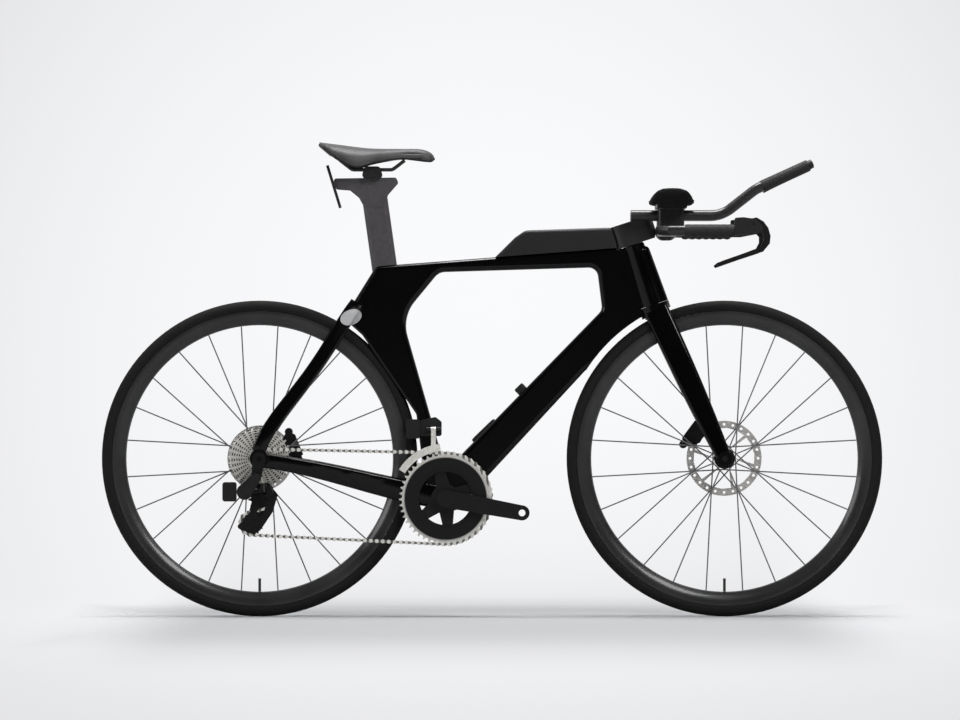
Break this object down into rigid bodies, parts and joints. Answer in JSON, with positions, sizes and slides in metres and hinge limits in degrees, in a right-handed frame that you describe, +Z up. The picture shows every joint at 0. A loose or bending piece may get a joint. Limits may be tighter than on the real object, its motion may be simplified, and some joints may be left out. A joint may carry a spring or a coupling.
{
  "type": "time trial bicycle",
  "caption": "Time trial bicycle with aero frame, extension bars with arm pads, disc brakes, derailleur gears and a storage box on the top tube; all moving parts are jointed.",
  "frame": {"origin": "middle of the bounding box on the ground, between both tyre contacts", "axes": "+X to the front along the wheelbase, +Y to the rider's left, +Z up"},
  "size_m": [1.6612, 0.427, 1.0089],
  "materials": {
    "gloss_black": "gloss",
    "satin_grey": "satin",
    "box_charcoal": "matte",
    "rim_carbon": "satin",
    "tyre_rubber": "matte",
    "spoke_black": "satin",
    "steel": "brushed",
    "black_alloy": "satin",
    "crank_alloy": "satin",
    "ring_alloy": "satin",
    "black_plastic": "satin",
    "pad_lining": "matte",
    "grip_rubber": "matte",
    "saddle_skin": "satin",
    "pad_foam": "matte"
  },
  "bodies": {
    "frame_body": {"frame": "gloss_black", "derailleur_hanger": "black_alloy", "seatpost_clamp": "satin_grey", "bottom_bracket": "steel", "headset_bearings": "steel", "headset_cover": "gloss_black", "storage_box": "box_charcoal", "rear_axle": "black_alloy", "rear_brake_caliper": "black_alloy", "front_derailleur_body": "black_plastic", "derailleur_batteries": "black_plastic", "chain": "steel", "rear_derailleur_knuckle": "black_plastic"},
    "steering_body": {"fork": "gloss_black", "stem": "satin_grey", "base_bar": "satin_grey", "bar_grips": "grip_rubber", "brake_lever_housings": "black_plastic", "extensions": "satin_grey", "extension_grips": "grip_rubber", "extension_clamps": "satin_grey", "arm_pad_cups": "satin_grey", "arm_pads": "pad_foam", "front_brake_caliper": "black_alloy", "front_axle": "black_alloy"},
    "front_wheel": {"front_tyre": "tyre_rubber", "front_rim": "rim_carbon", "front_spokes": "spoke_black", "front_hub": "black_alloy", "front_rotor": "steel"},
    "rear_wheel": {"rear_tyre": "tyre_rubber", "rear_rim": "rim_carbon", "rear_spokes": "spoke_black", "rear_hub": "black_alloy", "rear_rotor": "steel"},
    "crankset": {"crank_arm_right": "crank_alloy", "crank_arm_left": "crank_alloy", "chainring_big": "ring_alloy", "chainring_small": "ring_alloy"},
    "cassette_body": {"cassette": "steel"},
    "shift_link": {"rd_link": "black_alloy"},
    "shift_knuckle": {"rd_p_knuckle": "black_alloy"},
    "chain_cage": {"rd_cage": "black_alloy"},
    "guide_pulley_body": {"guide_pulley": "black_plastic"},
    "tension_pulley_body": {"tension_pulley": "black_plastic"},
    "front_cage": {"fd_cage": "ring_alloy"},
    "left_lever": {"brake_lever_left": "black_alloy"},
    "right_lever": {"brake_lever_right": "black_alloy"},
    "front_pad_left": {"front_brake_pad_left": "pad_lining"},
    "front_pad_right": {"front_brake_pad_right": "pad_lining"},
    "rear_pad_left": {"rear_brake_pad_left": "pad_lining"},
    "rear_pad_right": {"rear_brake_pad_right": "pad_lining"},
    "left_button": {"shift_button_left": "black_plastic"},
    "right_button": {"shift_button_right": "black_plastic"},
    "seat": {"seatpost": "satin_grey", "saddle_clamp": "satin_grey", "saddle_rails": "steel", "saddle_shell": "black_plastic", "saddle_cover": "saddle_skin", "number_plate_bracket": "satin_grey"}
  },
  "joints": [
    {"name": "steering", "type": "hinge", "parent": "frame_body", "child": "steering_body", "pos_m": [0.3004, 0, 0.788], "axis": [-0.309, 0, 0.9511], "range_deg": [-35, 35]},
    {"name": "front_wheel_spin", "type": "hinge", "parent": "steering_body", "child": "front_wheel", "pos_m": [0.49458, 0, 0.336], "axis": [0, 1, 0], "continuous": true},
    {"name": "crank_spin", "type": "hinge", "parent": "frame_body", "child": "crankset", "pos_m": [-0.0986, 0, 0.251], "axis": [0, 1, 0], "continuous": true, "deforming": ["chain"]},
    {"name": "cassette_spin", "type": "hinge", "parent": "frame_body", "child": "cassette_body", "pos_m": [-0.49458, 0, 0.336], "axis": [0, 1, 0], "continuous": true},
    {"name": "rear_wheel_spin", "type": "hinge", "parent": "frame_body", "child": "rear_wheel", "pos_m": [-0.49458, 0, 0.336], "axis": [0, 1, 0], "continuous": true},
    {"name": "derailleur_shift", "type": "hinge", "parent": "frame_body", "child": "shift_link", "pos_m": [-0.52458, -0.0826, 0.266], "axis": [0, 0.4226, 0.9063], "range_deg": [0, 58]},
    {"name": "derailleur_knuckle", "type": "hinge", "parent": "shift_link", "child": "shift_knuckle", "pos_m": [-0.48511, -0.09562, 0.27207], "axis": [0, 0.4226, 0.9063], "range_deg": [-58, 0]},
    {"name": "cage_swing", "type": "hinge", "parent": "shift_knuckle", "child": "chain_cage", "pos_m": [-0.47708, -0.062, 0.2665], "axis": [0, 1, 0], "range_deg": [-35, 30]},
    {"name": "guide_pulley_spin", "type": "hinge", "parent": "chain_cage", "child": "guide_pulley_body", "pos_m": [-0.49188, -0.062, 0.252], "axis": [0, 1, 0], "continuous": true},
    {"name": "tension_pulley_spin", "type": "hinge", "parent": "chain_cage", "child": "tension_pulley_body", "pos_m": [-0.51108, -0.062, 0.1985], "axis": [0, 1, 0], "continuous": true},
    {"name": "front_cage_swing", "type": "hinge", "parent": "frame_body", "child": "front_cage", "pos_m": [-0.1246, -0.044, 0.399], "axis": [1, 0, 0], "range_deg": [0, 10]},
    {"name": "left_brake_lever", "type": "hinge", "parent": "steering_body", "child": "left_lever", "pos_m": [0.552, 0.2, 0.8327], "axis": [0, 1, 0], "range_deg": [0, 25], "stiffness_Nm_per_rad": 0.4},
    {"name": "right_brake_lever", "type": "hinge", "parent": "steering_body", "child": "right_lever", "pos_m": [0.552, -0.2, 0.8327], "axis": [0, 1, 0], "range_deg": [0, 25], "stiffness_Nm_per_rad": 0.4},
    {"name": "front_left_pad", "type": "slide", "parent": "steering_body", "child": "front_pad_left", "axis": [0, -1, 0], "range_m": [0, 0.00035]},
    {"name": "front_right_pad", "type": "slide", "parent": "steering_body", "child": "front_pad_right", "axis": [0, 1, 0], "range_m": [0, 0.00035]},
    {"name": "rear_left_pad", "type": "slide", "parent": "frame_body", "child": "rear_pad_left", "axis": [0, -1, 0], "range_m": [0, 0.00035]},
    {"name": "rear_right_pad", "type": "slide", "parent": "frame_body", "child": "rear_pad_right", "axis": [0, 1, 0], "range_m": [0, 0.00035]},
    {"name": "left_shift_button", "type": "slide", "parent": "steering_body", "child": "left_button", "axis": [-0.9107, 0, -0.4131], "range_m": [0, 0.0012], "stiffness_N_per_m": 1500},
    {"name": "right_shift_button", "type": "slide", "parent": "steering_body", "child": "right_button", "axis": [-0.9107, 0, -0.4131], "range_m": [0, 0.0012], "stiffness_N_per_m": 1500},
    {"name": "seatpost_height", "type": "slide", "parent": "frame_body", "child": "seat", "axis": [-0.1392, 0, 0.9903], "range_m": [-0.02, 0.04]}
  ],
  "couplings": [
    {"joint": "cassette_spin", "follows": "crank_spin", "ratio": 4.8},
    {"joint": "guide_pulley_spin", "follows": "crank_spin", "ratio": -4},
    {"joint": "tension_pulley_spin", "follows": "crank_spin", "ratio": 4},
    {"joint": "derailleur_knuckle", "follows": "derailleur_shift", "ratio": -1},
    {"joint": "front_left_pad", "follows": "left_brake_lever", "m_per_rad": 0.0008},
    {"joint": "front_right_pad", "follows": "left_brake_lever", "m_per_rad": 0.0008},
    {"joint": "rear_left_pad", "follows": "right_brake_lever", "m_per_rad": 0.0008},
    {"joint": "rear_right_pad", "follows": "right_brake_lever", "m_per_rad": 0.0008}
  ]
}
